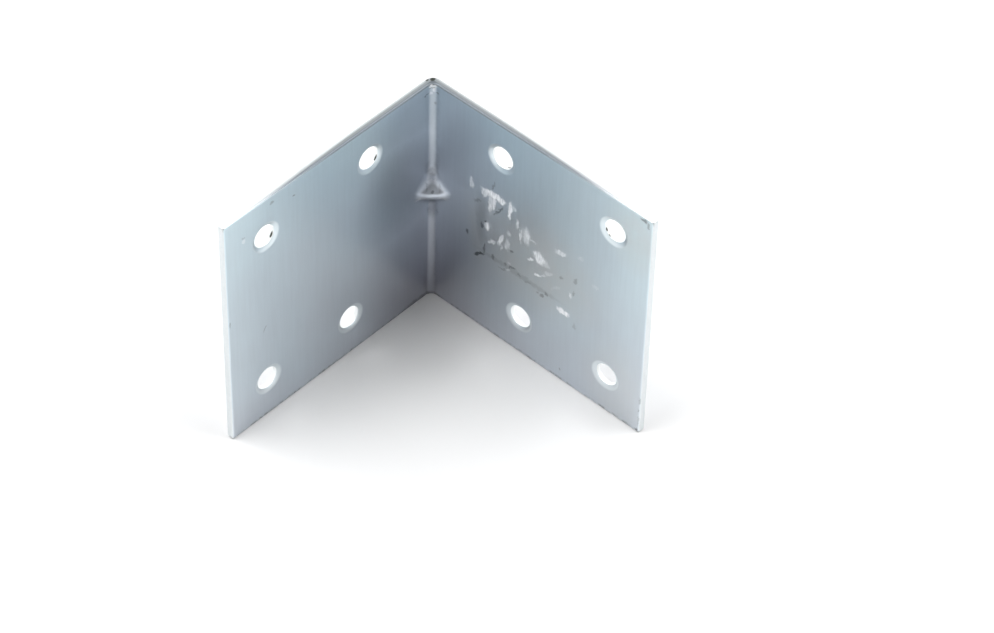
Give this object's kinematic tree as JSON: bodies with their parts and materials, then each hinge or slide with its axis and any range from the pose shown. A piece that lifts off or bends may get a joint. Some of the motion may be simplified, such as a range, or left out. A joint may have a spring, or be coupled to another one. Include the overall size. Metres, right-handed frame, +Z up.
{
  "type": "corner brace bracket",
  "caption": "Wide folded steel corner brace with equal flanges, staggered countersunk screw holes and a small pressed gusset across the bend, for joining boards at a right angle.",
  "frame": {"origin": "foot of the sharp outer corner, where the planes of the two outer faces meet the plane it stands on", "axes": "+X along one flange and +Y along the other, both away from the corner, +Z up along the bend"},
  "size_m": [0.06, 0.06, 0.06],
  "materials": {
    "zinc_plated_steel": "bright zinc plating, bluish, satin"
  },
  "bodies": {
    "root": {"bracket": "zinc_plated_steel"}
  },
  "joints": []
}
